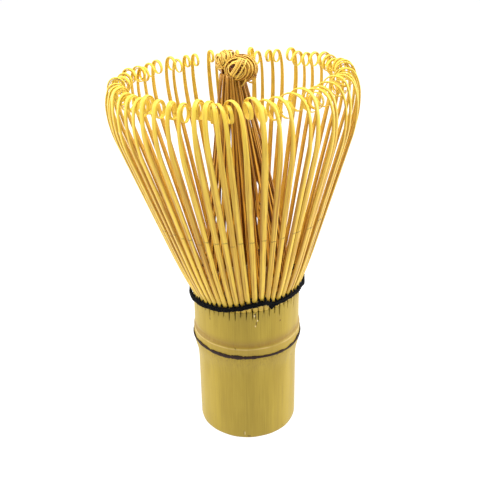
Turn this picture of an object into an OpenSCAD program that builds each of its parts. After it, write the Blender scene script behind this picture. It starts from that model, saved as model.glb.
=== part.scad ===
// Bamboo tea whisk: one length of culm, split above its node into a flared outer ring of curled
// tines and an inner cone whose tips are wound into a knot, with a black thread woven at the roots.
// Millimetres. Origin at the centre of the open lower end of the grip, +Z up the handle.

/* [Handle] */
// Outer radius of the grip, the stub of culm below the node
grip_r = 15; // [14:0.1:16]
// Radius of the open hollow inside the grip
grip_bore_r = 12.3; // [11.6:0.1:12.6]
// Height of the sheath scar, the dark line round the node
node_z = 30.4; // [28:0.2:32]
// How far the culm swells out at the node
node_swell = 1.25; // [0.6:0.05:1.6]
// Outer radius of the neck above the node
neck_r = 15.8; // [15:0.1:15.9]
// Height of the top of the neck, where the tines spring
neck_top_z = 45.3; // [42:0.1:48]

/* [Brush] */
// Splints that the culm is split into
splint_count = 15; // [13:1:16]
// Sideways lean of the hand-shaped brush on its handle, in degrees
head_lean = 2.6; // [0:0.2:4]
// Lean of the straight part of the outer tines from upright, in degrees
outer_lean = 17.9; // [16:0.1:18.5]
// Length of the straight part of the outer tines
shaft_length = 34.6; // [30:0.2:38]
// Radius of the curl at an outer tine's tip, where it starts
curl_r = 2.7; // [2.2:0.1:2.9]
// Turn of the curl at an outer tine's tip, in degrees
curl_turn = 290; // [200:5:310]
// Height of the middle of the knot of inner tips
knot_z = 110; // [107:0.2:111]

/* [Thread] */
// Radius of the thread wound outside the tine roots
thread_r = 0.5; // [0.35:0.05:0.55]
// Radius of the thread packed between the outer and inner tines
packing_r = 0.75; // [0.5:0.05:0.8]

/* [Hidden] */

// Each splint is split again, into this many outer tines and as many inner ones
tines_per_splint = 4;
// Angle from tine to tine inside a splint, a little closer than from splint to splint
splint_step = 360 / splint_count;
tine_step_share = 0.242;
tine_step = splint_step * tine_step_share;

// Facets of round parts, and how far a cutting shape reaches past what it cuts
round_sides = 96;
coil_sides = 64;
small_sides = 32;
overshoot = 1;

// Wall, node and neck of the culm
bore_depth = node_z - 1;
cavity_r = grip_bore_r - 0.3;
septum_t = 1.6;
edge_break = 0.25;
swell_below = 4.4;
swell_above = 3.4;
// The node's swell is too slight to count this many of its widths below it
swell_reach = 2.4;
neck_flare = 0.15;
neck_flare_from = 40;
profile_step = 1.25;
scar_r = 0.42;
scar_sink = 0.18;
dish_r = 9;
dish_depth = 0.6;
dish_knee = 0.8;

// Outer tines
outer_root_r = 15.5;
outer_root_z = neck_top_z + 0.2;
root_lean = 8;
knee_lean = 23;
knee_length = 2.6;
spread_length = 14;
shoulder_length = 9;
rise_length = 5;
rise_lean = -20;
curl_end_share = 0.62;
curl_steps = 9;
// How far single tines stray from the lean, length, bend, curl radius and curl turn above
lean_stray = 0.35;
shaft_stray = 0.7;
bend_stray = 7;
curl_r_stray = 0.08;
curl_turn_stray = 20;
// Outer tines by number, and how far the bent ones in front lean sideways at the rim
front_sway = [[47, 0], [48, -0.3], [49, 0.2], [50, -0.9], [51, -1.3], [52, -2.1], [53, -2.5], [54, -1.5],
              [55, -1.3], [56, -0.9], [57, 0]];
rim_rise = 60;
outer_w = [1.4, 1.05];
outer_t = [0.84, 0.26];

// Inner tines
inner_root_r = 13.2;
inner_top_r = [1.35, 2.5, 1.8, 3.05];
inner_top_z = knot_z - 1.2;
inner_bow = 1.2;
inner_bow_skew = 0.22;
inner_steps = 5;
inner_w = [0.76, 0.42];
inner_t = [0.6, 0.32];

// Knot of inner tips: a main coil with a hollow heart, and a smaller one behind its shoulder
knot_r = 4.2;
knot_half = 4;
knot_heart = 0.8;
knot_ridges = 7;
knot_place = [2.55, 0.2, knot_z - 0.35];
knot_turn = [-66, -24, 0];
knot_stretch = [1.08, 1, 0.9];
lobe_r = 3.1;
lobe_half = 2.9;
lobe_ridges = 5;
lobe_place = [-1.2, 2.7, knot_z + 1.4];
lobe_turn = [20, -60, 0];
strand_ridge = 0.22;

// Thread rings and the tie where the outer one is knotted
outer_thread_ring = 16.75;
outer_thread_z = neck_top_z + 0.7;
// Turns round the brush, from -180 to 180 degrees, and how far the hand-wound thread rises there
thread_rises = [[-180, -0.4], [-154, -0.6], [-133, -0.2], [-111, 0.1], [-98, 1], [-89, 1.7], [-80, 2.2],
                [-73, 2.9], [-66, 1], [-53, 1.1], [-35, 1.3], [-20, 1.6], [0, 1], [40, 0.5], [90, 0.2],
                [140, -0.1], [180, -0.4]];
thread_step = 4;
thread_sides = 10;
// Above this rise the thread lies on the spreading tines, so that it is wider by this slope
thread_spread_from = 0.3;
thread_spread = 0.47;
packing_ring = 14.9;
packing_z = neck_top_z + 3.3;
tie_angle = -66;
tie_r = 0.75;
tie_out = 0.5;
tie_drop = 0.4;

// Colours
culm_colour = "#c2ad5e";
outer_colour = "#e2b84c";
inner_colour = "#b98a3a";
knot_colour = "#d5a544";
scar_colour = "#3a2412";
thread_colour = "#14141c";
septum_colour = "#d9c690";

function two_digits(n) = n < 10 ? str("0", n) : str(n);
OUTER_NODES = [for (i = [1:splint_count]) str("outer_splint_", two_digits(i))];
INNER_NODES = [for (i = [1:splint_count]) str("inner_splint_", two_digits(i))];

// ---- Helpers -------------------------------------------------------------------------------------

// A steady hand-made unevenness, between -1 and 1, that differs from tine to tine
function uneven(tine, kind) = sin(tine * 137.5 + kind * 83) * cos(tine * 51.3 + kind * 29);

// Angle of a tine round the brush; shift is in tines
function tine_angle(splint, tine, shift) =
    (splint - 1) * splint_step + (tine - (tines_per_splint + 1) / 2 + shift) * tine_step;

// A stretch whose lean changes evenly, as [lean, length] moves
function stretch(from, to, length, steps) =
    [for (k = [1:steps]) [from + (to - from) * (k - 0.5) / steps, length / steps]];

// A curl whose radius shrinks as it turns, as [lean, length] moves
function curl(from, turn, radius, steps) =
    [for (k = [1:steps])
        let (share = (k - 0.5) / steps, here_r = radius * (1 + (curl_end_share - 1) * share))
        [from - turn * share, here_r * turn / steps * PI / 180]];

// The points [radius, height] reached from a start by a list of moves
function walk(moves, start) =
    [for (i = 0, p = start; i <= len(moves);
          p = i < len(moves) ? p + moves[i][1] * [sin(moves[i][0]), cos(moves[i][0])] : p, i = i + 1)
        p];

// Lean of a path at one of its points
function lean_at(path, i) =
    let (before = path[max(i - 1, 0)], after = path[min(i + 1, len(path) - 1)])
    atan2(after[0] - before[0], after[1] - before[1]);

// The four corners of a tine at a point of its path
function section(p, lean, w, t) =
    let (out = [cos(lean), -sin(lean)] * t / 2)
    [[p[0] + out[0], -w / 2, p[1] + out[1]], [p[0] + out[0], w / 2, p[1] + out[1]],
     [p[0] - out[0], w / 2, p[1] - out[1]], [p[0] - out[0], -w / 2, p[1] - out[1]]];

// A closed solid through a list of sections with equal numbers of corners
module sweep(sections) {
    sides = len(sections[0]);
    last = (len(sections) - 1) * sides;
    walls = [for (s = [0:len(sections) - 2], k = [0:sides - 1])
        let (a = s * sides + k, b = s * sides + (k + 1) % sides)
        each [[a, a + sides, b], [b, a + sides, b + sides]]];
    start_cap = [for (k = [1:sides - 2]) [0, k, k + 1]];
    end_cap = [for (k = [1:sides - 2]) [last, last + k + 1, last + k]];
    polyhedron(points = [for (s = sections) each s], faces = concat(walls, start_cap, end_cap));
}

// A tine along a path, tapering in width and thickness from its root to its tip
module tine(path, w, t) {
    n = len(path) - 1;
    sweep([for (i = [0:n])
        let (share = i / n)
        section(path[i], lean_at(path, i), w[0] + (w[1] - w[0]) * share, t[0] + (t[1] - t[0]) * share)]);
}

// The brush is bent over as a whole, to -X, about the top of the neck
module brush_frame() {
    translate([0, 0, neck_top_z]) rotate([0, -head_lean, 0]) translate([0, 0, -neck_top_z]) children();
}

// A ring of round section about the brush's axis
module ring(radius, wire_r, height) {
    rotate_extrude($fn = round_sides) translate([radius, height]) circle(r = wire_r, $fn = small_sides);
}

// ---- Handle --------------------------------------------------------------------------------------

// Outer radius of the culm at a height
function bump(x, width) = exp(-pow(x / width, 2));
function culm_r(z) =
    z < node_z
    ? grip_r + node_swell * bump(z - node_z, swell_below)
    : neck_r + (grip_r + node_swell - neck_r) * bump(z - node_z, swell_above)
        + neck_flare * pow(max(z - neck_flare_from, 0) / (neck_top_z - neck_flare_from), 2);

// Below this height the grip is a true cylinder, up to where the swell of the node begins
swell_from = node_z - swell_reach * swell_below;

module culm_outside() {
    swell_z = [for (z = [swell_from + profile_step:profile_step:neck_top_z + 2 * overshoot]) z];
    top_z = swell_z[len(swell_z) - 1];
    rotate_extrude($fn = round_sides)
        polygon(concat(
            [[0, 0], [grip_r - edge_break, 0], [grip_r, edge_break], [grip_r, swell_from]],
            [for (z = swell_z) [culm_r(min(z, neck_top_z)), z]],
            [[0, top_z]]));
}

module handle_culm() {
    color(culm_colour) difference() {
        culm_outside();
        translate([0, 0, -overshoot])
            cylinder(r = grip_bore_r, h = bore_depth + overshoot, $fn = round_sides);
        translate([0, 0, bore_depth - overshoot])
            cylinder(r = cavity_r, h = neck_top_z, $fn = round_sides);
        brush_frame() translate([-2 * neck_r, -2 * neck_r, neck_top_z])
            cube([4 * neck_r, 4 * neck_r, neck_r]);
    }
}

// The wall that closes the culm inside at its node, thinner in the middle
module node_diaphragm() {
    color(septum_colour) translate([0, 0, bore_depth]) rotate_extrude($fn = round_sides)
        polygon([[0, 0], [cavity_r, 0], [cavity_r, septum_t], [dish_r, septum_t],
                 [dish_r / 2, septum_t - dish_depth * dish_knee], [0, septum_t - dish_depth]]);
}

// The dark ridge that the culm's sheath left round the node
module sheath_scar() {
    color(scar_colour) ring(culm_r(node_z) - scar_sink, scar_r, node_z);
}

// ---- Tines ---------------------------------------------------------------------------------------

function outer_path(tine) =
    let (
        lean = outer_lean + lean_stray * uneven(tine, 1),
        shaft = shaft_length + shaft_stray * uneven(tine, 2),
        bend = rise_lean + bend_stray * uneven(tine, 3),
        radius = curl_r * (1 + curl_r_stray * uneven(tine, 4)),
        turn = curl_turn + curl_turn_stray * uneven(tine, 5)
    )
    walk(concat(
        stretch(root_lean, knee_lean, knee_length, 2),
        stretch(knee_lean, lean, spread_length, 3),
        stretch(lean, lean, shaft, 1),
        stretch(lean, 0, shoulder_length, 3),
        stretch(0, bend, rise_length, 1),
        curl(bend, turn, radius, curl_steps)
    ), [outer_root_r, outer_root_z]);

// A tine leant sideways, by a distance at the rim
module swayed(distance) {
    shear = distance / rim_rise;
    multmatrix([[1, 0, 0, 0], [0, 1, shear, -shear * outer_root_z], [0, 0, 1, 0]]) children();
}

module outer_splint(splint) {
    color(outer_colour) brush_frame() for (k = [1:tines_per_splint])
        let (number = splint * tines_per_splint + k)
            rotate([0, 0, tine_angle(splint, k, 0)]) swayed(lookup(number, front_sway))
                tine(outer_path(number), outer_w, outer_t);
}

// The cone bulges a little more on its +X side, as it was bound by hand
function inner_path(k, angle) =
    let (bow = inner_bow + inner_bow_skew * cos(angle))
    [for (i = [0:inner_steps])
        let (share = i / inner_steps)
        [inner_root_r + (inner_top_r[k - 1] - inner_root_r) * pow(share, bow),
         neck_top_z + (inner_top_z - neck_top_z) * share]];

module inner_splint(splint) {
    color(inner_colour) brush_frame() for (k = [1:tines_per_splint])
        let (angle = tine_angle(splint, k, 0.5))
            rotate([0, 0, angle]) tine(inner_path(k, angle), inner_w, inner_t);
}

// ---- Knot of inner tips --------------------------------------------------------------------------

// A wound coil: a ball about its own axis, ridged by its strands, with a hollow heart
module coil(radius, half, heart, ridges) {
    steps = ridges * 6;
    rim = [for (i = [0:steps])
        let (a = -90 + 180 * i / steps,
             swell = 1 - strand_ridge / radius * pow(cos(ridges * 180 * i / steps), 2))
        [max(radius * cos(a) * swell, heart), half * sin(a) * swell]];
    rotate_extrude($fn = coil_sides) polygon(rim);
}

module tip_knot() {
    color(knot_colour) brush_frame() translate(knot_place) scale(knot_stretch) rotate(knot_turn)
        coil(knot_r, knot_half, knot_heart, knot_ridges);
}

module tip_knot_lobe() {
    color(knot_colour) brush_frame() translate(lobe_place) rotate(lobe_turn)
        coil(lobe_r, lobe_half, 0, lobe_ridges);
}

// ---- Thread --------------------------------------------------------------------------------------

function thread_rise(angle) = lookup(angle, thread_rises);
function thread_ring_r(rise) = outer_thread_ring + thread_spread * max(rise - thread_spread_from, 0);

// A closed loop through a ring of sections
module loop(sections) {
    sides = len(sections[0]);
    count = len(sections);
    walls = [for (s = [0:count - 1], k = [0:sides - 1])
        let (a = s * sides, b = (s + 1) % count * sides, c = (k + 1) % sides)
        each [[a + k, a + c, b + k], [a + c, b + c, b + k]]];
    polyhedron(points = [for (s = sections) each s], faces = walls);
}

module outer_thread() {
    color(thread_colour) brush_frame() loop([for (angle = [-180:thread_step:180 - thread_step])
        let (rise = thread_rise(angle), ring_r = thread_ring_r(rise))
        [for (k = [0:thread_sides - 1])
            let (turn = 360 * k / thread_sides, r = ring_r + thread_r * cos(turn))
            [r * cos(angle), r * sin(angle), outer_thread_z + rise + thread_r * sin(turn)]]]);
}

module packing_thread() {
    color(thread_colour) brush_frame() ring(packing_ring, packing_r, packing_z);
}

// The knot in the outer thread
module thread_tie() {
    rise = thread_rise(tie_angle);
    color(thread_colour) brush_frame() rotate([0, 0, tie_angle])
        translate([thread_ring_r(rise) + tie_out, 0, outer_thread_z + rise - tie_drop])
            sphere(r = tie_r, $fn = small_sides);
}

handle_culm();
node_diaphragm();
sheath_scar();
outer_thread();
packing_thread();
thread_tie();
tip_knot();
tip_knot_lobe();
for (i = [1:splint_count]) outer_splint(i);
for (i = [1:splint_count]) inner_splint(i);
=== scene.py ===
import math

import bmesh
import bpy
import numpy as np
from mathutils import Matrix


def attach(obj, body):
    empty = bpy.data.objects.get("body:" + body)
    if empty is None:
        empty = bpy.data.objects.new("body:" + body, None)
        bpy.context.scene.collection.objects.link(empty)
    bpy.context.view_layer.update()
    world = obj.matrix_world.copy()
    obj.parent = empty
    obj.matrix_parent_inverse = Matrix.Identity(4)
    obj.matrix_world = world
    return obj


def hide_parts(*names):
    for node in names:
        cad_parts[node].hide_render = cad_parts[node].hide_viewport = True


# The looks of a bamboo tea whisk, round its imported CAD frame. Lengths are millimetres, as in the
# part's own source, until a mesh is made; angles are degrees. The brush is modelled upright and
# then leant over with its CAD bodies.

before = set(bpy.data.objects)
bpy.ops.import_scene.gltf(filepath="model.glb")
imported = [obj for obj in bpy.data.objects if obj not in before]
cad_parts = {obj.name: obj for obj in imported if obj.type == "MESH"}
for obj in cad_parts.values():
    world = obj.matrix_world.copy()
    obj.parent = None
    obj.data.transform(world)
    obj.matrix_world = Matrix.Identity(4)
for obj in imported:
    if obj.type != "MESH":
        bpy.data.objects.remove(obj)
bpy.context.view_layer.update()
MM = 0.001

# ---- Sizes of the part ---------------------------------------------------------------------------

# Handle: its grip, the bore below the wall inside the node and the cavity above it, the swelling
# at the node, and the neck
GRIP_R = 15
BORE_R = 12.3
CAVITY_R = 12.0
NODE_Z = 30.4
BORE_DEPTH = NODE_Z - 1
SEPTUM_T = 1.6
NODE_SWELL = 1.25
SWELL_BELOW = 4.4
SWELL_ABOVE = 3.4
NECK_R = 15.8
NECK_TOP_Z = 45.3
NECK_FLARE = 0.15
NECK_FLARE_FROM = 40
FOOT_ROUND = 0.34
CREASE_UP = 2.85

# Slits in the neck between the tines: half width in degrees, and depth
SLIT_HALF = 0.8
SLIT_DEPTH = 0.75

# Splints and tines; the head leans to -X
SPLINTS = 15
TINES = 4
SPLINT_STEP = 360 / SPLINTS
TINE_STEP = SPLINT_STEP * 0.242
HEAD_LEAN = 2.6

# Outer tines: they lean out at the root, knee out further, run straight, rise and curl
OUTER_ROOT_R = 15.5
OUTER_ROOT_Z = NECK_TOP_Z
ROOT_LEAN = 8
KNEE_LEAN = 23
KNEE_LENGTH = 2.6
SPREAD_LENGTH = 14
OUTER_LEAN = 17.9
SHAFT_LENGTH = 34.6
SHOULDER_LENGTH = 9
RISE_LENGTH = 5
RISE_LEAN = -20
CURL_TURN = 500
CURL_SIDE_TURN = 120
CURL_OPEN_R = 1.7
CURL_TIGHT_R = 1.45
CURL_TWIST = 14
# where round the brush the curls are loosest, and how much lower they stand there
LOOSE_ANGLE = -52
LOOSE_DROP = 1.8
# stations of the line where its curl starts to turn sideways, and how many it takes
TWIST_FROM = 27
TWIST_STATIONS = 22
UNTWIST_STATIONS = 12
# how far tines lean sideways at the rim: in twos, unevenly, and by their number at the front
PAIRING = 0.5
SPLAY = 1.05
FRONT_SWAY = ((47, 0), (48, -0.3), (49, 0.2), (50, -0.9), (51, -1.3), (52, -2.1), (53, -2.5), (54, -1.5),
              (55, -1.3), (56, -0.9), (57, 0))
FRONT_NUDGE = {51: -0.3, 52: -0.8, 53: -0.1}
RIM_RISE = 60
# width at the front and at the back, and thickness, each by share of the length
OUTER_FRONT_W = ((0, 1.42), (0.3, 1.72), (0.46, 1.16), (0.74, 0.98), (1, 0.92))
OUTER_BACK_W = ((0, 1.4), (0.3, 1.35), (0.6, 0.84), (0.74, 0.75), (1, 0.66))
OUTER_T = ((0, 0.84), (0.3, 0.74), (0.6, 0.4), (0.74, 0.24), (1, 0.18))

# Inner tines and the knot of their tips: a main coil and a second one, its lobe
INNER_ROOT_R = 13.2
INNER_TOP_R = (1.35, 2.5, 1.8, 3.05)
KNOT_Z = 110
INNER_TOP_Z = KNOT_Z - 1.2
INNER_BOW = 1.2
INNER_BOW_SKEW = 0.22
INNER_W = (0.76, 0.42)
INNER_T = (0.6, 0.32)
KNOT_R = 4.2
KNOT_PLACE = (2.55, 0.2, KNOT_Z - 0.35)
KNOT_STRETCH = (1.08, 1, 0.9)
LOBE_R = 3.1
LOBE_PLACE = (-1.2, 2.7, KNOT_Z + 1.4)

# The gap in the cone on its +X side
PARTING_X = 5.4
PARTING_WIDTH = 1.5
PARTING = 0.9

# Thread; it rises round the brush as (degrees, mm)
THREAD_RING_R = 16.75
THREAD_Z = NECK_TOP_Z + 0.7
THREAD_R = 0.5
THREAD_RISES = ((-180, -0.4), (-154, -0.6), (-133, -0.2), (-111, 0.1), (-98, 1), (-89, 1.7), (-80, 2.2),
                (-73, 2.9), (-66, 1), (-53, 1.1), (-35, 1.3), (-20, 1.6), (0, 1), (40, 0.5), (90, 0.2),
                (140, -0.1), (180, -0.4))
THREAD_SPREAD_FROM = 0.3
THREAD_SPREAD = 0.47
PACKING_RING_R = 14.9
PACKING_Z = NECK_TOP_Z + 3.3
PACKING_R = 0.75
KNOB_PLACE = (5.0, 13.2, NECK_TOP_Z + 4.6)
KNOB_R = 0.75
TIE_ANGLE = -66

# Stage, in metres; the floor is so large that its edge lies close to the horizon
FLOOR_SIZE = 60
LAMP_SIZE = 0.5


# ---- Geometry helpers ----------------------------------------------------------------------------

def uneven(tine, kind):
    """The part's steady unevenness, between -1 and 1, that differs from tine to tine."""
    first = math.sin(math.radians(tine * 137.5 + kind * 83))
    return first * math.cos(math.radians(tine * 51.3 + kind * 29))


def tine_angle(splint, tine, shift=0.0):
    """Angle of a tine round the brush; shift is in tines."""
    return (splint - 1) * SPLINT_STEP + (tine - (TINES + 1) / 2 + shift) * TINE_STEP


def looked_up(place, table):
    """Value at a place in a table of (place, value), even between its rows."""
    places, values = np.array(table).T
    return np.interp(place, places, values)


def smooth(share):
    """0 below 0, 1 above 1, and an even S between."""
    s = np.clip(share, 0, 1)
    return s * s * (3 - 2 * s)


def unit(vectors):
    """Vectors of length 1."""
    return vectors / np.maximum(np.linalg.norm(vectors, axis=-1, keepdims=True), 1e-12)


def turned(points, angle):
    """Points turned about the Z axis."""
    a = math.radians(angle)
    x, y, z = np.asarray(points, float).T
    return np.column_stack([x * math.cos(a) - y * math.sin(a), x * math.sin(a) + y * math.cos(a), z])


def leant(points):
    """Points of the upright brush, leant over with it about the top of the neck."""
    a = math.radians(-HEAD_LEAN)
    x, y, z = np.asarray(points, float).T
    z = z - NECK_TOP_Z
    return np.column_stack(
        [x * math.cos(a) + z * math.sin(a), y, z * math.cos(a) - x * math.sin(a) + NECK_TOP_Z])


def rounded(sides, corner, crown=0.0):
    """Outline of a strip as (across, out) in half sizes: a rounded rectangle with a crowned skin."""
    angles = np.radians((np.arange(sides) + 0.5) * 360 / sides)
    across, out = np.cos(angles), np.sin(angles)
    across = np.sign(across) * np.abs(across) ** corner
    out = np.sign(out) * np.abs(out) ** corner
    return np.column_stack([across, out + crown * (1 - across ** 2) * (out > 0)])


def strip(line, out, width, thick, outline, seed):
    """A closed strip along a line: its points, faces and paint coordinates.

    grain is (across, out, along) in mm, so that a grain follows the strip round its bends. tone is
    (seed, how far a point is to the skin side, share of the length).
    """
    rings, corners = len(line), len(outline)
    ahead = unit(np.gradient(line, axis=0))
    out = unit(out - (out * ahead).sum(1, keepdims=True) * ahead)
    side = np.cross(ahead, out)
    across = np.outer(np.broadcast_to(width, rings) / 2, outline[:, 0])
    depth = np.outer(np.broadcast_to(thick, rings) / 2, outline[:, 1])
    points = line[:, None] + across[..., None] * side[:, None] + depth[..., None] * out[:, None]
    along = np.concatenate([[0], np.cumsum(np.linalg.norm(np.diff(line, axis=0), axis=1))])
    along = np.repeat(along[:, None], corners, axis=1)
    grain = np.stack([across, depth, along], -1)
    skin = np.broadcast_to(outline[:, 1], (rings, corners))
    tone = np.stack([np.full((rings, corners), seed), skin, along / along[-1, 0]], -1)
    index = np.arange(rings * corners).reshape(rings, corners)
    after = np.roll(index, -1, axis=1)
    walls = np.stack([index[:-1], index[1:], after[1:], after[:-1]], -1).reshape(-1, 4)
    faces = [tuple(int(i) for i in f) for f in walls]
    faces += [tuple(int(i) for i in index[0]), tuple(int(i) for i in index[-1][::-1])]
    return points.reshape(-1, 3), faces, grain.reshape(-1, 3), tone.reshape(-1, 3)


def piece(name, parts, paint, body, nodes=()):
    """One mesh object from several closed parts, riding on a body in place of CAD nodes."""
    points, faces, grain, tone, first = [], [], [], [], 0
    for part_points, part_faces, part_grain, part_tone in parts:
        points.append(part_points)
        grain.append(part_grain)
        tone.append(part_tone)
        faces += [tuple(i + first for i in face) for face in part_faces]
        first += len(part_points)
    points = np.concatenate(points) * MM
    mesh = bpy.data.meshes.new(name)
    mesh.from_pydata(points.tolist(), [], faces)
    for label, values in (("grain", np.concatenate(grain)), ("tone", np.concatenate(tone))):
        attribute = mesh.attributes.new(label, "FLOAT_VECTOR", "POINT")
        attribute.data.foreach_set("vector", values.astype(np.float32).ravel())
    work = bmesh.new()
    work.from_mesh(mesh)
    bmesh.ops.recalc_face_normals(work, faces=work.faces)
    work.to_mesh(mesh)
    work.free()
    mesh.polygons.foreach_set("use_smooth", [True] * len(mesh.polygons))
    mesh.materials.append(paint)
    made = bpy.data.objects.new(name, mesh)
    bpy.context.scene.collection.objects.link(made)
    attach(made, body)
    if nodes:
        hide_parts(*nodes)
    return made


def lathe(rows, angles):
    """A closed tube of revolution from rows of (radius, height, skin, painted shade of the slits).

    Each of them is one number, or one for each angle.
    """
    turn = np.radians(angles)
    points, grain, tone = [], [], []
    for row in rows:
        radius, height, skin, slit_shade = (np.broadcast_to(value, len(angles)) for value in row)
        points.append(np.column_stack([radius * np.cos(turn), radius * np.sin(turn), height]))
        grain.append(np.column_stack([turn * GRIP_R, GRIP_R - radius, height]))
        tone.append(np.column_stack([np.zeros(len(angles)), skin, slit_shade]))
    index = np.arange(len(rows) * len(angles)).reshape(len(rows), len(angles))
    index = np.concatenate([index, index[:1]])
    after = np.roll(index, -1, axis=1)
    faces = np.stack([index[:-1], after[:-1], after[1:], index[1:]], -1).reshape(-1, 4)
    return (np.concatenate(points), [tuple(int(i) for i in f) for f in faces],
            np.concatenate(grain), np.concatenate(tone))


# ---- Materials -----------------------------------------------------------------------------------

def tint(code):
    """A linear colour from a hex code."""
    parts = [int(code[i:i + 2], 16) / 255 for i in (1, 3, 5)]
    return tuple(c / 12.92 if c <= 0.04045 else ((c + 0.055) / 1.055) ** 2.4 for c in parts) + (1.0,)


class Paint:
    """One procedural material, built by calls that return node sockets."""

    def __init__(self, name, specular, coat=0.0, coat_roughness=0.3):
        self.material = bpy.data.materials.new(name)
        self.material.use_nodes = True
        self.tree = self.material.node_tree
        self.shader = self.tree.nodes["Principled BSDF"]
        self.shader.inputs["Specular IOR Level"].default_value = specular
        self.shader.inputs["Coat Weight"].default_value = coat
        self.shader.inputs["Coat Roughness"].default_value = coat_roughness

    def node(self, kind, *values, **settings):
        """A node with its settings, and its first inputs linked or set."""
        made = self.tree.nodes.new(kind)
        for key, value in settings.items():
            setattr(made, key, value)
        for socket, value in zip(made.inputs, values):
            if isinstance(value, bpy.types.NodeSocket):
                self.tree.links.new(value, socket)
            elif value is not None:
                socket.default_value = value
        return made

    def attribute(self, name):
        return self.node("ShaderNodeAttribute", attribute_name=name).outputs["Vector"]

    def split(self, vector):
        return self.node("ShaderNodeSeparateXYZ", vector).outputs

    def noise(self, vector, stretch, detail=3.0, rough=0.55, shift=0.0):
        """Noise whose cells are 1/stretch long on each axis, in the vector's own unit."""
        scaled = self.node("ShaderNodeVectorMath", vector, stretch, (shift,) * 3,
                           operation="MULTIPLY_ADD").outputs[0]
        made = self.node("ShaderNodeTexNoise")
        self.tree.links.new(scaled, made.inputs["Vector"])
        made.inputs["Scale"].default_value = 1.0
        made.inputs["Detail"].default_value = detail
        made.inputs["Roughness"].default_value = rough
        return made.outputs[0]

    def spread(self, value, low, high, start=0.0, end=1.0):
        """start where value is low and end where it is high, with an even S between them."""
        made = self.node("ShaderNodeMapRange", value, low, high, start, end)
        made.interpolation_type = "SMOOTHSTEP"
        return made.outputs[0]

    def maths(self, operation, *values):
        return self.node("ShaderNodeMath", *values, operation=operation).outputs[0]

    def mixed(self, amount, first, second):
        """The first colour, with an amount of the second."""
        made = self.node("ShaderNodeMix", data_type="RGBA")
        for socket, value in ((made.inputs[0], amount), (made.inputs[6], first), (made.inputs[7], second)):
            if isinstance(value, bpy.types.NodeSocket):
                self.tree.links.new(value, socket)
            else:
                socket.default_value = value
        return made.outputs[2]

    def bump(self, height, strength, distance_mm):
        made = self.node("ShaderNodeBump")
        made.inputs["Strength"].default_value = strength
        made.inputs["Distance"].default_value = distance_mm * MM
        self.tree.links.new(height, made.inputs["Height"])
        return made.outputs["Normal"]

    def finish(self, colour, roughness, normal=None):
        """The material, once its surface is set."""
        for name, value in (("Base Color", colour), ("Roughness", roughness), ("Normal", normal)):
            if isinstance(value, bpy.types.NodeSocket):
                self.tree.links.new(value, self.shader.inputs[name])
            elif value is not None:
                self.shader.inputs[name].default_value = value
        return self.material


# Marks in the culm's skin: place as (distance round, depth, height), half sizes, and shade
CULM_MARKS = (
    ((73.1, 0, 43.6), (0.16, 9, 1.0), "#3b2410"),
    ((73.25, 0, 41.4), (0.14, 9, 0.8), "#4a2e14"),
    ((72.95, 0, 44.6), (0.3, 9, 0.4), "#26160a"),
    ((72.75, 0, 44.1), (0.22, 9, 0.5), "#ecd9a8"),
    ((73.6, 0, 42.4), (0.16, 9, 0.35), "#ecd9a8"),
    ((73.0, 0, 40.6), (0.2, 9, 0.3), "#e6cf98"),
    ((80.5, 0, 40.6), (0.3, 9, 0.35), "#6e4a1c"),
    ((69.3, 0, 1.9), (0.14, 9, 1.3), "#8a6c2e"),
    ((69.6, 0, 1.7), (0.12, 9, 0.9), "#ead79a"),
)


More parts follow.
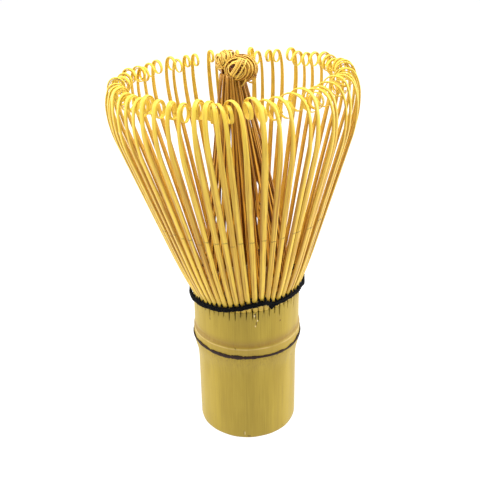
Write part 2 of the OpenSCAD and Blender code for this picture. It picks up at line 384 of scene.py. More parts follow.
def culm_paint():
    """Smoked yellow-green skin of the culm, with pale cut faces full of dark fibre ends."""
    p = Paint("culm", specular=0.25, coat=0.04, coat_roughness=0.35)
    grain, tone = p.attribute("grain"), p.attribute("tone")
    height = p.split(grain)[2]
    _, skin, slit_shade = p.split(tone)
    broad = p.noise(grain, (0.22, 0.2, 0.035), detail=3)
    streak = p.noise(grain, (2.6, 1.0, 0.05), detail=4, rough=0.6)
    fine = p.noise(grain, (9.0, 2.0, 0.16), detail=3, rough=0.6, shift=7.0)
    speck = p.noise(grain, (2.2, 1.0, 1.1), detail=2, shift=3.0)
    colour = p.mixed(p.spread(broad, 0.32, 0.68), tint("#a48a2c"), tint("#b09634"))
    colour = p.mixed(p.spread(streak, 0.45, 0.8, 0.0, 0.45), colour, tint("#bfa742"))
    colour = p.mixed(p.spread(streak, 0.46, 0.22, 0.0, 0.45), colour, tint("#8b7223"))
    colour = p.mixed(p.spread(fine, 0.56, 0.8, 0.0, 0.35), colour, tint("#846a2c"))
    # a paler band above the scar, painted brown shade in the fold where the crease starts, a painted
    # highlight along the crease's ridge, and darker patches under the scar
    band = p.maths("MULTIPLY", p.spread(height, NODE_Z + 0.2, NODE_Z + 0.9),
                   p.spread(height, NODE_Z + 3.4, NODE_Z + 2.5))
    colour = p.mixed(p.maths("MULTIPLY", band, 0.35), colour, tint("#b39646"))
    # painted shade in the fold just above the crease
    crease = p.maths("MULTIPLY", p.spread(height, NODE_Z + 2.9, NODE_Z + 3.2),
                     p.spread(height, NODE_Z + 6.4, NODE_Z + 3.2))
    colour = p.mixed(p.maths("MULTIPLY", crease, p.spread(streak, 0.3, 0.7, 0.35, 0.8)),
                     colour, tint("#8f6c30"))
    # painted highlight: a pale line along the ridge of the crease
    ridge_highlight_gap = p.maths("ABSOLUTE", p.maths("SUBTRACT", height, NODE_Z + 2.6))
    colour = p.mixed(p.maths("MULTIPLY", p.spread(ridge_highlight_gap, 0.3, 0.08), p.spread(broad, 0.35, 0.6, 0.2, 0.6)),
                     colour, tint("#d8b97a"))
    # darker in patches just under the scar
    under_scar_darkening = p.maths("MULTIPLY", p.spread(height, NODE_Z - 5.0, NODE_Z - 0.8),
                     p.spread(height, NODE_Z, NODE_Z - 0.3))
    under_scar_darkening = p.maths("MULTIPLY", under_scar_darkening, p.spread(speck, 0.46, 0.64))
    colour = p.mixed(p.maths("MULTIPLY", under_scar_darkening, 0.4), colour, tint("#7c652c"))
    # dye that has run down from the thread, in streaks between the tines
    dye = p.noise(grain, (1.9, 1.0, 0.28), detail=3, rough=0.65, shift=11.0)
    reach = p.spread(height, NECK_TOP_Z - 4.2, NECK_TOP_Z + 0.2)
    dye = p.maths("MULTIPLY", reach, p.spread(dye, 0.5, 0.72))
    colour = p.mixed(p.maths("MULTIPLY", dye, 0.6), colour, tint("#57461f"))
    # painted shade, near black, in the slits between the tines
    colour = p.mixed(p.spread(slit_shade, 0.05, 0.6, 0.0, 0.95), colour, tint("#150e08"))
    spots = p.noise(grain, (0.5, 0.5, 0.45), detail=1, shift=5.0)
    colour = p.mixed(p.spread(spots, 0.74, 0.78, 0.0, 0.6), colour, tint("#5d4420"))
    # a short crack under the thread with a chipped lip, a spot, and a chip at the base
    ragged = p.maths("MULTIPLY", p.maths("SUBTRACT", speck, 0.5), 1.1)
    for place, reach, shade in CULM_MARKS:
        apart = p.node("ShaderNodeVectorMath", grain, place, operation="SUBTRACT").outputs[0]
        apart = p.node("ShaderNodeVectorMath", apart, [1 / size for size in reach],
                       operation="MULTIPLY").outputs[0]
        apart = p.node("ShaderNodeVectorMath", apart, operation="LENGTH").outputs["Value"]
        colour = p.mixed(p.spread(p.maths("ADD", apart, ragged), 1.0, 0.7, 0.0, 0.85), colour,
                         tint(shade))
    # cut faces
    fibres = p.node("ShaderNodeTexVoronoi")
    cut = p.node("ShaderNodeVectorMath", grain, (1.5, 1.9, 0.1), operation="MULTIPLY").outputs[0]
    p.tree.links.new(cut, fibres.inputs["Vector"])
    fibres.inputs["Scale"].default_value = 1.0
    ends = p.mixed(p.spread(fibres.outputs["Distance"], 0.16, 0.32), tint("#6b451c"), tint("#d9bf85"))
    ends = p.mixed(p.spread(fine, 0.4, 0.8, 0.0, 0.4), ends, tint("#b8945a"))
    colour = p.mixed(p.spread(skin, 0.6, 0.2), colour, ends)
    rough = p.spread(streak, 0.3, 0.75, 0.38, 0.55)
    rough = p.maths("ADD", rough, p.spread(skin, 0.6, 0.2, 0.0, 0.3))
    relief = p.maths("ADD", p.maths("MULTIPLY", streak, 0.7), p.maths("MULTIPLY", fine, 0.5))
    return p.finish(colour, rough, p.bump(relief, 0.35, 0.08))


def tine_paint(name, skin_light, skin_dark, flesh, fibre_and_shade, tip, line_at):
    """Split bamboo: glossy skin outside, duller flesh and brown fibres inside and on the cuts, with
    painted shade and painted highlights.
    """
    p = Paint(name, specular=0.3, coat=0.05, coat_roughness=0.25)
    grain, tone = p.attribute("grain"), p.attribute("tone")
    across, _, along = p.split(grain)
    seed, skin, share = p.split(tone)
    own = p.node("ShaderNodeCombineXYZ", p.maths("MULTIPLY", seed, 31.7),
                 p.maths("MULTIPLY", seed, 17.3), p.maths("MULTIPLY", seed, 53.9)).outputs[0]
    place = p.node("ShaderNodeVectorMath", grain, own, operation="ADD").outputs[0]
    streak = p.noise(place, (2.0, 1.6, 0.05), detail=3, rough=0.65)
    fine = p.noise(place, (7.0, 6.0, 0.25), detail=3, rough=0.6, shift=9.0)
    patch = p.noise(place, (0.4, 0.4, 0.11), detail=2, shift=4.0)
    lively = p.maths("ADD", p.maths("MULTIPLY", patch, 0.6), p.maths("MULTIPLY", seed, 0.4))
    colour = p.mixed(p.spread(lively, 0.25, 0.75), tint(skin_dark), tint(skin_light))
    colour = p.mixed(p.spread(streak, 0.5, 0.66, 0.0, 0.7), colour, tint(skin_light))
    colour = p.mixed(p.spread(streak, 0.5, 0.34, 0.0, 0.8), colour, tint(fibre_and_shade))
    colour = p.mixed(p.spread(fine, 0.54, 0.76, 0.0, 0.5), colour, tint(fibre_and_shade))
    # painted shade: one side of a tine is darker than the other
    shade = p.maths("MULTIPLY", p.spread(across, 0.1, -0.6), p.spread(patch, 0.25, 0.7, 0.25, 0.7))
    colour = p.mixed(shade, colour, tint(fibre_and_shade))
    # painted highlights: pale lines along the edges of the skin, where they were rounded off
    edge_highlight = p.maths("MULTIPLY", p.spread(skin, 0.92, 0.74), p.spread(skin, 0.3, 0.55))
    colour = p.mixed(p.maths("MULTIPLY", edge_highlight, p.spread(streak, 0.4, 0.6, 0.1, 0.75)), colour, tint(tip))
    inside = p.mixed(p.spread(fine, 0.38, 0.72), tint(flesh), tint(fibre_and_shade))
    colour = p.mixed(p.spread(skin, 0.35, -0.35), colour, inside)
    # the cut sides are darker: brown fibres, partly painted shade
    cut = p.maths("MULTIPLY", p.spread(skin, 0.8, 0.5), p.spread(skin, -0.9, -0.5))
    colour = p.mixed(p.maths("MULTIPLY", cut, p.spread(fine, 0.3, 0.6, 0.35, 0.8)), colour, tint(fibre_and_shade))
    # the last part of each strip takes the tip colour as painted light: a painted highlight on the outer
    # curls, painted shade near the knot on the inner tines
    colour = p.mixed(p.maths("MULTIPLY", p.spread(share, 0.5, 0.9), 0.7), colour, tint(tip))
    if line_at:
        # the roots still have the culm's own colour
        colour = p.mixed(p.maths("MULTIPLY", p.spread(along, 7.0, 1.5), p.spread(skin, -0.2, 0.5)),
                         colour, tint("#c4a43c"))
        # the dark line where the skin was shaved off, a little ragged
        place_of_line = p.maths("ADD", along, p.maths("MULTIPLY", p.maths("ADD", seed, fine), -1.6))
        near = p.maths("ABSOLUTE", p.maths("SUBTRACT", place_of_line, line_at))
        mark = p.maths("MULTIPLY", p.spread(near, 0.24, 0.08), p.spread(skin, 0.2, 0.7))
        mark = p.maths("MULTIPLY", mark, p.spread(patch, 0.36, 0.56))
        colour = p.mixed(p.maths("MULTIPLY", mark, 0.75), colour, tint("#6a4a14"))
    rough = p.spread(streak, 0.25, 0.75, 0.32, 0.5)
    rough = p.maths("ADD", rough, p.spread(skin, 0.3, -0.4, 0.0, 0.22))
    relief = p.maths("ADD", streak, p.maths("MULTIPLY", fine, 0.6))
    return p.finish(colour, rough, p.bump(relief, 0.55, 0.05))


def thread_paint():
    """Black cotton twist with blue-grey fibre highlights."""
    p = Paint("thread", specular=0.1)
    p.shader.inputs["Sheen Weight"].default_value = 0.02
    p.shader.inputs["Sheen Roughness"].default_value = 0.5
    grain, tone = p.attribute("grain"), p.attribute("tone")
    fibre = p.noise(grain, (14.0, 14.0, 2.2), detail=3, rough=0.6)
    fibre_sheen = p.noise(tone, (9.0, 3.0, 60.0), detail=2)
    colour = p.mixed(p.spread(fibre, 0.35, 0.75), tint("#020203"), tint("#0b0c12"))
    # painted sheen: blue-grey highlights on the fibres
    colour = p.mixed(p.spread(fibre_sheen, 0.6, 0.8, 0.0, 0.35), colour, tint("#151722"))
    rough = p.spread(fibre, 0.3, 0.7, 0.7, 0.9)
    return p.finish(colour, rough, p.bump(fibre, 0.7, 0.06))


def scar_paint():
    """Burnt-brown fibre stubs of the sheath scar."""
    p = Paint("sheath_scar", specular=0.3)
    grain = p.attribute("grain")
    blotch = p.noise(grain, (2.5, 2.5, 0.9), detail=4, rough=0.65)
    colour = p.mixed(p.spread(blotch, 0.3, 0.7), tint("#120804"), tint("#3a2012"))
    rough = p.spread(blotch, 0.3, 0.7, 0.55, 0.8)
    return p.finish(colour, rough, p.bump(blotch, 0.7, 0.15))


def septum_paint():
    """Pale pithy wall inside the node."""
    p = Paint("culm_inside", specular=0.25)
    place = p.node("ShaderNodeTexCoord").outputs["Object"]
    pith = p.noise(place, (900, 900, 900), detail=4, rough=0.6)
    broad = p.noise(place, (160, 160, 160), detail=2)
    colour = p.mixed(p.spread(pith, 0.3, 0.7), tint("#c8ab72"), tint("#e6d3a4"))
    colour = p.mixed(p.spread(broad, 0.45, 0.7, 0.0, 0.5), colour, tint("#a8874c"))
    return p.finish(colour, p.spread(pith, 0.3, 0.7, 0.7, 0.9), p.bump(pith, 0.5, 0.2))


# ---- Handle --------------------------------------------------------------------------------------

def paint_septum():
    """The wall inside the node keeps its CAD shape, and gets a material."""
    pith = septum_paint()
    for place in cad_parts["node_diaphragm"].material_slots:
        place.material = pith


# Angles of the slits, between two splints and between the tines of each
GAP_ANGLES = [(s - 1) * SPLINT_STEP + (k - TINES / 2) * TINE_STEP if k else (s - 1.5) * SPLINT_STEP
              for s in range(1, SPLINTS + 1) for k in range(TINES)]


def gap_columns():
    """Angles round the culm, close together at each slit between tines."""
    slit = (-0.8, -0.55, -0.3, 0.0, 0.3, 0.55, 0.8)
    between = (1.3, 2.2, 3.1, 4.0, 4.8)
    angles = [gap + offset for gap in GAP_ANGLES for offset in slit + between]
    return np.array(sorted(angles))


def culm_radius(z):
    """Outer radius of the culm at a height, as in the part."""
    if z < NODE_Z:
        return GRIP_R + NODE_SWELL * math.exp(-((z - NODE_Z) / SWELL_BELOW) ** 2)
    swell = (GRIP_R + NODE_SWELL - NECK_R) * math.exp(-((z - NODE_Z) / SWELL_ABOVE) ** 2)
    flare = NECK_FLARE * (max(z - NECK_FLARE_FROM, 0) / (NECK_TOP_Z - NECK_FLARE_FROM)) ** 2
    return NECK_R + swell + flare


def slit_share(angles, down):
    """From 0 to 1, how deep the slits between the tines are, at a distance down from the neck's top."""
    nearest = np.min(np.abs(angles[:, None] - np.array(GAP_ANGLES)[None]), axis=1)
    which = np.argmin(np.abs(angles[:, None] - np.array(GAP_ANGLES)[None]), axis=1)
    reach = 2.3 + 1.4 * np.array([uneven(int(i), 11) for i in which])
    here = np.clip(1 - down / reach, 0, 1)
    half_width = SLIT_HALF * here ** 0.5
    return np.where(here > 0, smooth(1 - nearest / np.maximum(half_width, 1e-6)), 0.0)


def culm_rows(angles):
    """Rows of the culm, up its outside, over the neck's top and down inside."""
    turn = np.radians(angles)
    wander = 0.16 * np.sin(turn * 2 + 0.6) + 0.1 * np.sin(turn * 5 + 2.1)
    flutes = 0.035 * np.sin(turn * 7 + 1) + 0.02 * np.sin(turn * 16 + 0.3) + 0.02 * np.sin(turn * 3)
    top = NECK_TOP_Z + np.cos(turn) * GRIP_R * math.tan(math.radians(HEAD_LEAN))
    rows = []
    for z in (0.0, 0.06, 0.16, FOOT_ROUND):
        round_off = math.sqrt(max(FOOT_ROUND ** 2 - (FOOT_ROUND - z) ** 2, 0))
        rows.append((GRIP_R - FOOT_ROUND + round_off + flutes, z, 1, 0))
    heights = np.concatenate([np.arange(2, 22, 2), np.arange(22, 28, 1), np.arange(28, 36, 0.25),
                              np.arange(36, 41, 1)])
    for z in heights:
        crease = z - (NODE_Z + CREASE_UP + wander)
        fold = 0.16 * np.exp(-((crease / 0.4) ** 2)) - 0.2 * np.exp(-(((crease - 0.95) / 0.6) ** 2))
        ledge = -0.12 * np.exp(-(((z - NODE_Z - 0.7 - wander * 0.4) / 0.45) ** 2))
        rows.append((culm_radius(z) + flutes + fold + ledge, z, 1, 0))
    for down in (3.9, 3.6, 3.3, 3.0, 2.6, 2.2, 1.8, 1.4, 1.0, 0.7, 0.4, 0.2, 0.0):
        z = top - down
        radius = np.array([culm_radius(min(h, NECK_TOP_Z)) for h in z])
        slit = slit_share(angles, down)
        # the slit's share also sets the painted shade in it
        rows.append((radius + flutes - SLIT_DEPTH * slit, z, 1, slit))
    rows.append((CAVITY_R + 1.6, top, -1, 0))
    rows.append((CAVITY_R, top - 0.1, -1, 0))
    for z in np.linspace(NECK_TOP_Z - 1.5, BORE_DEPTH + SEPTUM_T, 5):
        rows.append((CAVITY_R + 0.02 * np.sin(turn * 9), z, -1, 0))
    rows.append((CAVITY_R, BORE_DEPTH, -1, 0))
    rows.append((BORE_R, BORE_DEPTH, -1, 0))
    for z in np.linspace(BORE_DEPTH - 1, 1.5, 8):
        rows.append((BORE_R + 0.04 * np.sin(turn * 6 + z), z, -1, 0))
    rows.append((BORE_R + 0.02, 0.25, -1, 0))
    rows.append((BORE_R + 0.22, 0, -1, 0))
    return rows


def make_culm():
    """The grip, node and neck, in one piece."""
    angles = gap_columns()
    piece("culm", [lathe(culm_rows(angles), angles)], culm_paint(), "handle", ["handle_culm"])


def ring_line(radius, height, steps, wave):
    """A closed ring as a line that ends where it starts, with the way out from it; wave lifts it."""
    turn = np.linspace(0, 2 * math.pi, steps + 1)
    line = np.column_stack([radius * np.cos(turn), radius * np.sin(turn), height + wave(turn)])
    return line, np.column_stack([np.cos(turn), np.sin(turn), np.zeros_like(turn)])


def loop(line, out, width, thick, outline, seed):
    """A strip whose last ring is its first one."""
    points, faces, grain, tone = strip(line, out, width, thick, outline, seed)
    corners, last = len(outline), (len(line) - 1) * len(outline)
    points[:corners] = (points[:corners] + points[last:]) / 2
    faces = [tuple(i % last for i in face) for face in faces[:-2]]
    return points[:last], faces, grain[:last], tone[:last]


def make_scar():
    """A ragged ridge of dark fibre stubs round the node."""
    random = np.random.default_rng(5)
    steps = 360
    rough = np.convolve(random.normal(size=steps + 20), np.ones(5) / 5, "same")[:steps]
    rough = np.append(rough, rough[0])
    blob = np.clip(np.convolve(random.normal(size=steps + 20), np.ones(11) / 11, "same")[:steps], 0, 1)
    blob = np.append(blob, blob[0])
    radius = culm_radius(NODE_Z)
    wave = lambda t: 0.14 * np.sin(2 * t + 0.6) + 0.09 * np.sin(5 * t + 2.1)
    line, out = ring_line(radius - 0.02, NODE_Z, steps, wave)
    line[:, 2] += 0.05 * rough
    height = 0.8 + 0.25 * rough + 0.9 * blob
    parts = [loop(line, out, height, 0.5 + 0.2 * blob, rounded(10, 0.8), 0.3)]
    for i in range(90):
        angle = random.uniform(0, 360)
        rise = random.uniform(0.25, 0.7)
        base = np.array([radius - 0.05, 0.0, NODE_Z + wave(math.radians(angle))])
        tip = base + [0.1, random.uniform(-0.25, 0.25), rise * random.choice([1, 1, -1])]
        stub = turned(np.linspace(base, tip, 4), angle)
        facing = turned([[1, 0, 0]] * 4, angle)
        parts.append(strip(stub, facing, np.linspace(0.4, 0.08, 4), np.linspace(0.3, 0.08, 4),
                           rounded(6, 1.0), 0.6))
    piece("scar_fibres", parts, scar_paint(), "handle", ["sheath_scar"])


# ---- Tines ---------------------------------------------------------------------------------------

TINE_OUTLINE = rounded(12, 0.62, crown=0.12)
CURL_STATIONS = 34


def summed(steps):
    """Running total at the stations between steps."""
    return np.concatenate([[0], np.cumsum(steps)])


def between(values):
    """Values of the steps, taken at the stations between them."""
    return np.concatenate([values[:1], (values[1:] + values[:-1]) / 2, values[-1:]])


def looseness(angle):
    """From 0 to 1, how loosely a tine is curled: most in front, on the +X side."""
    return (0.5 + 0.5 * math.cos(math.radians(angle - LOOSE_ANGLE))) ** 9


def nearness(angle):
    """From 0 at the far side of the brush to 1 at its front."""
    return 0.5 - 0.5 * math.sin(math.radians(angle))


def outer_line(tine, angle):
    """Radius, side step and height of an outer tine's middle line, with its leans and twist."""
    lean = OUTER_LEAN + 0.35 * uneven(tine, 1)
    near, loose = nearness(angle), looseness(angle)
    shaft = SHAFT_LENGTH + 0.7 * uneven(tine, 2) - LOOSE_DROP * loose
    bend = RISE_LEAN + 7 * uneven(tine, 3)
    # a curl opens wide where it is loose, and is wound further at the sides
    open_r = CURL_OPEN_R + 0.35 * near + 0.5 * abs(math.cos(math.radians(angle))) + 2.2 * loose
    open_r *= 1 + 0.1 * uneven(tine, 4)
    tight_r = CURL_TIGHT_R + 0.35 * near + 0.2 * loose
    turn = CURL_TURN + CURL_SIDE_TURN * abs(math.cos(math.radians(angle))) ** 2 + 50 * uneven(tine, 5)
    leans, steps = [], []
    for first, last, length, count in ((ROOT_LEAN, KNEE_LEAN, KNEE_LENGTH, 5),
                                       (KNEE_LEAN, lean, SPREAD_LENGTH, 8), (lean, lean, shaft, 14),
                                       (lean, 0, SHOULDER_LENGTH, 10), (0, bend, RISE_LENGTH, 6)):
        share = (np.arange(count) + 0.5) / count
        leans.append(first + (last - first) * share)
        steps.append(np.full(count, length / count))
    share = (np.arange(CURL_STATIONS) + 0.5) / CURL_STATIONS
    leans.append(bend - turn * share)
    radius = tight_r + (open_r - tight_r) * (1 - share) ** (1.2 + 2.2 * loose)
    steps.append(radius * math.radians(turn) / CURL_STATIONS)
    leans, steps = np.radians(np.concatenate(leans)), np.concatenate(steps)
    # the plane of the curl is turned, so that it is seen half open from the front
    heading = math.copysign(1, math.sin(math.radians(2 * (angle + 6))))
    sideways = math.degrees(math.asin(abs(math.cos(math.radians(angle)))))
    least = CURL_TWIST + (1 - near) * (22 * min(sideways / 30, 1) - 2)
    seen = least + (90 - least) * (sideways / 90) ** 2.3
    full = math.radians(seen - sideways + 32 * loose + 6 * uneven(tine, 17))
    station = np.arange(len(steps))
    twist = heading * full * smooth((station - TWIST_FROM) / TWIST_STATIONS)
    untwist = 0.8 * min(1.5 * loose, 1)
    twist *= 1 - untwist * smooth((station - TWIST_FROM - TWIST_STATIONS) / UNTWIST_STATIONS)
    radial = OUTER_ROOT_R + summed(steps * np.sin(leans) * np.cos(twist))
    side = -summed(steps * np.sin(leans) * np.sin(twist))
    height = OUTER_ROOT_Z + summed(steps * np.cos(leans))
    curled = np.clip(np.arange(len(radial)) - (len(radial) - 1 - CURL_STATIONS), 0, None) / CURL_STATIONS
    side += (0.25 + 0.25 * uneven(tine, 6) + 0.4 * loose) * heading * curled ** 0.9
    return radial, side, height, between(leans), between(twist)


def outer_tine(splint, k):
    """One outer tine: a strip, widest on its straight part, that thins and curls towards its tip."""
    tine = splint * TINES + k
    angle = tine_angle(splint, k)
    radial, side, height, lean, twist = outer_line(tine, angle)
    share = np.linspace(0, 1, len(radial))
    rise = (height - height[0]) / (height.max() - height[0])
    sway = float(looked_up(tine, FRONT_SWAY))
    stray = SPLAY * uneven(tine, 7) * (0.3 if sway else 0.8)
    # neighbours lean to each other in twos, most at the front
    stray += PAIRING * (1 if tine % 2 else -1) * nearness(angle) * (not sway)
    stray += FRONT_NUDGE.get(tine, 0)
    splay = stray * rise ** 0.6 + sway * (height - height[0]) / RIM_RISE
    line = np.column_stack([radial, splay + side, height])
    out = np.column_stack([np.cos(lean) * np.cos(twist), -np.cos(lean) * np.sin(twist), -np.sin(lean)])
    line, out = leant(turned(line, angle)), turned(out, angle)
    width, slim = looked_up(share, OUTER_FRONT_W), looked_up(share, OUTER_BACK_W)
    width = slim + (width - slim) * nearness(angle)
    width = width * (1 + 0.2 * uneven(tine, 9) * rise)
    thick = looked_up(share, OUTER_T)
    return strip(line, out, width, thick, TINE_OUTLINE, 0.5 + 0.5 * uneven(tine, 10))


def inner_tine(splint, k):
    """One inner tine: a thin strip that bows in to the knot."""
    tine = splint * TINES + k
    angle = tine_angle(splint, k, 0.5)
    bow = INNER_BOW + INNER_BOW_SKEW * math.cos(math.radians(angle))
    share = np.linspace(0, 1, 28)
    radial = INNER_ROOT_R + (INNER_TOP_R[k - 1] - INNER_ROOT_R) * share ** bow
    height = NECK_TOP_Z + (INNER_TOP_Z - NECK_TOP_Z) * share
    sway = 0.3 * uneven(tine, 12) * np.sin(math.pi * share) + 0.16 * uneven(tine, 13) * np.sin(5 * share)
    line = turned(np.column_stack([radial, sway, height]), angle)
    # the cone parts a little on its +X side, where light shows through it
    aside = (line[:, 0] - PARTING_X) / PARTING_WIDTH
    low = smooth((height - NECK_TOP_Z - 4) / 8) * smooth((80 - height) / 14)
    line[:, 0] += PARTING * low * np.sign(aside) * np.exp(-aside ** 2)
    line = leant(line)
    out = turned(np.tile([1.0, 0.25 * uneven(tine, 14), 0.15], (len(share), 1)), angle)
    width = (INNER_W[0] + (INNER_W[1] - INNER_W[0]) * share) * (1.08 + 0.12 * uneven(tine, 15))
    thick = INNER_T[0] + (INNER_T[1] - INNER_T[0]) * share
    return strip(line, out, width, thick, rounded(8, 0.7, crown=0.1), 0.5 + 0.5 * uneven(tine, 16))


def make_tines():
    """The outer tines, a piece for each splint that flexes, and the inner ones."""
    outer = tine_paint("outer_tine", "#f0cc4c", "#cda032", "#dcaa34", "#9c681a", "#f8da4e", 25.5)
    # the inner tines take a darker copy of the tine colours, as painted shade inside the cone
    inner = tine_paint("inner_tine", "#f2bc3c", "#c88a26", "#b07218", "#5a2806", "#b07c26", 0)
    for splint in range(1, SPLINTS + 1):
        number = f"{splint:02d}"
        piece(f"outer_tines_{number}", [outer_tine(splint, k) for k in range(1, TINES + 1)], outer,
              f"splint_{number}", [f"outer_splint_{number}"])
        piece(f"inner_tines_{number}", [inner_tine(splint, k) for k in range(1, TINES + 1)], inner,
              "handle", [f"inner_splint_{number}"])


# ---- Knot of inner tips --------------------------------------------------------------------------

STRAND_OUTLINE = rounded(8, 0.8, crown=0.1)
NO_STRETCH = (1, 1, 1)
FRONT = np.array([0.0, -0.98, 0.2])


def strand(centre, radius, axis, offset, start, turn, random, width=0.5, climb=0.0, dive=0.0,
           stretch=NO_STRETCH):
    """A tip wound on a ball: a circle about an axis, moved along it, that may climb and dive.

    start and turn are degrees from where the circle comes nearest to the front.
    """
    axis = unit(np.array(axis, float))
    first = unit(FRONT - np.dot(FRONT, axis) * axis)
    second = np.cross(axis, first)
    steps = max(int(abs(turn) / 9), 6)
    share = np.linspace(0, 1, steps + 1)
    angle = np.radians(start + turn * share)
    along = np.clip(offset + climb * (share - 0.5), -0.97, 0.97)
    around = np.sqrt(1 - along ** 2)
    ends = np.clip(np.minimum(share, 1 - share) * abs(turn) / 50, 0, 1)
    size = radius * (1 - dive * (1 - smooth(ends)))
    size = size * (1 + 0.02 * np.sin(angle * 2 + random.uniform(0, 6)))
    facing = (np.cos(angle) * around)[:, None] * first + (np.sin(angle) * around)[:, None] * second
    facing = facing + along[:, None] * axis
    line = np.array(centre) + facing * size[:, None] * np.array(stretch)
    return strip(leant(line), facing, width, 0.28, STRAND_OUTLINE, random.uniform(0, 1))


def ball(centre, radius, axis, first, last, count, random, width, tilt, stretch=NO_STRETCH):
    """A layer of strands wound about nearly the same axis, each second one a little lower.

    first and last are how many degrees from the axis its outermost strands lie.
    """
    parts = []
    for number, polar in enumerate(np.linspace(first, last, count)):
        own_axis = np.array(axis) + random.normal(size=3) * tilt
        size = radius * (1.0 - 0.05 * (number % 2) + random.uniform(-0.01, 0.02))
        parts.append(strand(centre, size, own_axis,
                            math.cos(math.radians(polar)), random.uniform(0, 360),
                            random.uniform(300, 350), random, width * random.uniform(0.8, 1.2),
                            climb=random.uniform(-1.5, 1.5) * tilt, dive=0.2, stretch=stretch))
    return parts


def make_knot():
    """The coils that the inner tips are wound into, round a heart painted dark as shade."""
    random = np.random.default_rng(11)
    bright = tine_paint("knot_strand", "#f2cf5c", "#d8a636", "#c48a2a", "#8e5218", "#ecc654", 0)
    # a darker copy of the strands' colours, as painted shade for the knot's heart
    heart_in_shade = tine_paint("knot_heart", "#b0701e", "#854612", "#854612", "#4e200a", "#8e5218", 0)
    axis = (-0.4, -0.9, 0.14)
    parts = ball(KNOT_PLACE, KNOT_R * 0.94, axis, 27, 160, 21, random, 0.5, 0.05, KNOT_STRETCH)
    parts += ball(KNOT_PLACE, KNOT_R * 0.85, axis, 42, 165, 17, random, 0.62, 0.03, KNOT_STRETCH)
    # strands drawn across the coil beside its hollow heart
    for offset, size in ((-0.56, 0.97), (-0.47, 1.02), (-0.36, 1.0), (-0.14, 1.0)):
        parts.append(strand(KNOT_PLACE, KNOT_R * size, (0.84, 0.1, -0.54), offset, -80, 165,
                            random, 0.5, climb=0.1, dive=0.3, stretch=KNOT_STRETCH))
    # loose turns that hang at its lower right
    for shift, size in ((0.0, 1.2), (0.5, 1.5)):
        place = np.array(KNOT_PLACE) + (2.6 - 0.4 * shift, -2.2, -2.1 + shift)
        parts.append(strand(place, size, (-0.3, -0.9, 0.3), 0.0, 20, 320, random, 0.4))
    # wide turns at its lower left
    for shift in (0.0, 0.4, 0.8, 1.2):
        place = np.array(KNOT_PLACE) + (-1.1 + 0.3 * shift, -0.3, -0.5 + 0.3 * shift)
        parts.append(strand(place, KNOT_R * 0.98, (-0.35, -0.9, 0.2 + 0.1 * shift), 0.25 - 0.2 * shift,
                            90, 250, random, 0.5, climb=0.1, dive=0.2))
    piece("knot_coil", parts, bright, "handle", ["tip_knot"])
    lobe_axis = (-0.75, -0.5, 0.4)
    parts = ball(LOBE_PLACE, LOBE_R * 0.95, lobe_axis, 14, 150, 14, random, 0.52, 0.03)
    parts += ball(LOBE_PLACE, LOBE_R * 0.85, lobe_axis, 30, 150, 11, random, 0.56, 0.03)
    for offset in (-0.25, 0.3):
        parts.append(strand(LOBE_PLACE, LOBE_R * 1.01, (0.8, -0.2, 0.5), offset, -70, 150, random, 0.44,
                            climb=0.1, dive=0.3))
    piece("knot_lobe_coil", parts, bright, "handle", ["tip_knot_lobe"])
    # the heart: inner layers of strands in the darker colours, painted shade in the coil's hollow
    parts = ball(KNOT_PLACE, KNOT_R * 0.8, (0.2, 0.5, 0.8), 10, 170, 17, random, 0.62, 0.12,
                 KNOT_STRETCH)
    parts += ball(KNOT_PLACE, KNOT_R * 0.7, (0.8, -0.3, 0.2), 10, 170, 14, random, 0.7, 0.1,
                  KNOT_STRETCH)
    parts += ball(LOBE_PLACE, LOBE_R * 0.8, (0.3, 0.4, 0.8), 10, 170, 11, random, 0.6, 0.1)
    piece("knot_heart", parts, heart_in_shade, "handle")


# ---- Thread --------------------------------------------------------------------------------------

def twist(line, out, radius, plies, pitch, seed, closed=True):
    """A cord laid from plies that wind round a line, as closed parts."""
    along = np.concatenate([[0], np.cumsum(np.linalg.norm(np.diff(line, axis=0), axis=1))])
    turns = max(round(along[-1] / pitch), 1)
    ahead = unit(np.gradient(line, axis=0))
    out = unit(out - (out * ahead).sum(1, keepdims=True) * ahead)
    side = np.cross(ahead, out)
    radius = np.broadcast_to(radius, len(line))
    parts = []
    for ply in range(plies):
        phase = 2 * math.pi * (turns * along / along[-1] + ply / plies)
        away = np.cos(phase)[:, None] * out + np.sin(phase)[:, None] * side
        lay = line + away * (radius * 0.5)[:, None]
        make = loop if closed else strip
        parts.append(make(lay, away, radius * 1.18, radius * 1.18, rounded(8, 1.0), seed + ply * 0.2))
    return parts


def thread_rise(turn):
    """How far the hand-wound thread rises at a turn round the brush, in radians."""
    return looked_up((np.degrees(turn) + 180) % 360 - 180, THREAD_RISES)


def thread_ring_r(rise):
    """Radius of the thread where it has risen onto the spreading tines."""
    return THREAD_RING_R + THREAD_SPREAD * np.maximum(rise - THREAD_SPREAD_FROM, 0)


def thread_line(lift, inset, steps, wobble):
    """The thread's closed line round the brush, as its middle line and the way out from it."""
    turn = np.linspace(0, 2 * math.pi, steps + 1)
    near = np.radians((-3, -1.5, 0, 1.5, 3))
    rise = np.mean([thread_rise(turn + shift) for shift in near], axis=0)
    up = THREAD_Z + rise + lift + wobble * (np.sin(17 * turn + 2) + 0.7 * np.sin(31 * turn))
    radius = thread_ring_r(rise + lift) - inset + wobble * np.sin(23 * turn + 1)
    line = np.column_stack([radius * np.cos(turn), radius * np.sin(turn), up])
    return line, np.column_stack([np.cos(turn), np.sin(turn), np.zeros_like(turn)])


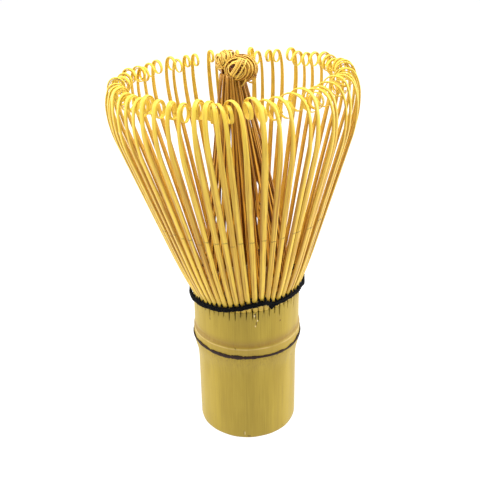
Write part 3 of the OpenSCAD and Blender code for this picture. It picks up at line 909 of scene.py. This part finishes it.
def dive_in(i, gap, random):
    """Where the thread goes in between two tines, to the packing inside."""
    start = float(thread_rise(math.radians(gap)))
    rise = start + 1.35 + 0.6 * uneven(i, 21)
    under, over = thread_ring_r(start) - 0.2, thread_ring_r(rise) - 0.62
    route = np.array([[under, 0, THREAD_Z + start], [under, 0, THREAD_Z + start + 0.5],
                      [over + 0.1, 0, THREAD_Z + rise], [over - 0.5, 0, THREAD_Z + rise + 0.4],
                      [PACKING_RING_R, 0, PACKING_Z]])
    share = np.linspace(0, 4, 17)
    route = np.column_stack([np.interp(share, range(5), route[:, c]) for c in range(3)])
    facing = turned([[1, 0, 0.4]] * len(route), gap)
    return strip(leant(turned(route, gap)), facing, np.linspace(0.95, 0.3, len(route)),
                 0.4, rounded(8, 1.0), random.uniform(0, 1))


def make_thread():
    """The thread outside the tines' roots, the thread packed inside them, and the tie."""
    random = np.random.default_rng(3)
    paint = thread_paint()
    line, out = thread_line(-0.05, 0.12, 1200, 0.05)
    size = THREAD_R * (0.98 + 0.1 * np.sin(line[:, 0] * 3.1))
    parts = twist(leant(line), out, size, 3, 2.6, 0.1)
    # the second turn of the thread, laid just above and inside the first
    line, out = thread_line(0.55, 0.2, 1200, 0.05)
    parts += twist(leant(line), out, THREAD_R * 0.68, 3, 1.9, 0.4)
    parts += [dive_in(i, gap, random) for i, gap in enumerate(GAP_ANGLES)]
    piece("outer_cord", parts, paint, "handle", ["outer_thread"])
    line, out = ring_line(PACKING_RING_R, PACKING_Z, 600, lambda t: 0.2 * np.sin(9 * t))
    parts = twist(leant(line), out, PACKING_R * 0.95, 3, 3.6, 0.7)
    # the thread's end, knotted inside at the far side
    parts += [strand(KNOB_PLACE, KNOB_R, tilt, 0.0, 0, 350, random, 0.5)
              for tilt in ((1, 0, 0.2), (0.2, 1, 0), (0, 0.3, 1), (1, 1, 1))]
    piece("packing_cord", parts, paint, "handle", ["packing_thread"])
    make_tie(paint)


def make_tie(paint):
    """The small overhand knot in the outer thread."""
    rise = float(thread_rise(math.radians(TIE_ANGLE)))
    centre = np.array([thread_ring_r(rise) + 0.3, 0, THREAD_Z + rise - 0.25])
    turn = np.linspace(0, 2 * math.pi, 73)
    trefoil = np.column_stack([0.16 * np.sin(3 * turn), 0.3 * (np.sin(turn) + 2 * np.sin(2 * turn)) / 1.6,
                               0.3 * (np.cos(turn) - 2 * np.cos(2 * turn)) / 1.6])
    line = turned(centre + trefoil, TIE_ANGLE)
    facing = turned(np.tile([1.0, 0, 0], (len(line), 1)), TIE_ANGLE)
    parts = twist(leant(line), facing, 0.27, 2, 0.9, 0.5)
    piece("tie_knot", parts, paint, "handle", ["thread_tie"])


# ---- Stage ---------------------------------------------------------------------------------------

def make_floor():
    """A floor that shines white by itself and takes a faint shadow."""
    bpy.ops.mesh.primitive_plane_add(size=FLOOR_SIZE)
    floor = bpy.context.object
    floor.name = "floor"
    p = Paint("floor", specular=0.0)
    p.shader.inputs["Emission Strength"].default_value = 0.95
    p.shader.inputs["Emission Color"].default_value = (1, 1, 1, 1)
    floor.data.materials.append(p.finish((0.2, 0.2, 0.2, 1), 0.9))


def make_lamp(name, place, power):
    """A square soft box that faces the middle of the whisk."""
    lamp = bpy.data.lights.new(name, "AREA")
    lamp.size = LAMP_SIZE
    lamp.energy = power
    made = bpy.data.objects.new(name, lamp)
    bpy.context.scene.collection.objects.link(made)
    made.location = place
    aim = made.location.copy()
    aim.z -= 0.06
    made.rotation_mode = "QUATERNION"
    made.rotation_quaternion = aim.to_track_quat("Z", "Y")


def make_lights():
    """A sky that is bright low down, and three soft boxes."""
    world = bpy.data.worlds.new("studio")
    world.use_nodes = True
    nodes, links = world.node_tree.nodes, world.node_tree.links
    sky = nodes["Background"]
    sky.inputs["Color"].default_value = (1, 1, 1, 1)
    # bright near the horizon, so that the floor runs on into a pale backdrop, and dim above
    split = nodes.new("ShaderNodeSeparateXYZ")
    links.new(nodes.new("ShaderNodeTexCoord").outputs["Generated"], split.inputs[0])
    ramp = nodes.new("ShaderNodeMapRange")
    links.new(split.outputs["Z"], ramp.inputs["Value"])
    for name, value in (("From Min", 0.2), ("From Max", 0.4), ("To Min", 1.0), ("To Max", 0.1)):
        ramp.inputs[name].default_value = value
    links.new(ramp.outputs[0], sky.inputs["Strength"])
    bpy.context.scene.world = world
    make_lamp("left", (-0.5, 0.05, 0.3), 3.3)
    make_lamp("right", (0.5, 0.08, 0.3), 3.7)
    make_lamp("top", (0.0, 0.0, 0.62), 4.5)
    bpy.context.scene.view_settings.view_transform = "Standard"


def make_camera():
    """A camera in front, looking a little down on the rim of the brush."""
    pitch, yaw, roll = math.radians(25.41), math.radians(-0.48), math.radians(-1.14)
    ahead = np.array([math.sin(yaw) * math.cos(pitch), math.cos(yaw) * math.cos(pitch),
                      -math.sin(pitch)])
    level = unit(np.cross(ahead, [0, 0, 1]))
    upright = np.cross(level, ahead)
    right = math.cos(roll) * level + math.sin(roll) * upright
    up = math.cos(roll) * upright - math.sin(roll) * level
    data = bpy.data.cameras.new("camera")
    data.lens = 53.7
    camera = bpy.data.objects.new("camera", data)
    bpy.context.scene.collection.objects.link(camera)
    place = (0.0, -0.188, 0.1496)
    rows = [(right[i], up[i], -ahead[i], place[i]) for i in range(3)]
    camera.matrix_world = Matrix(rows + [(0, 0, 0, 1)])
    data.clip_start = 0.01
    bpy.context.scene.camera = camera


make_camera()
make_lights()
make_floor()
make_culm()
make_scar()
make_tines()
make_knot()
make_thread()
paint_septum()
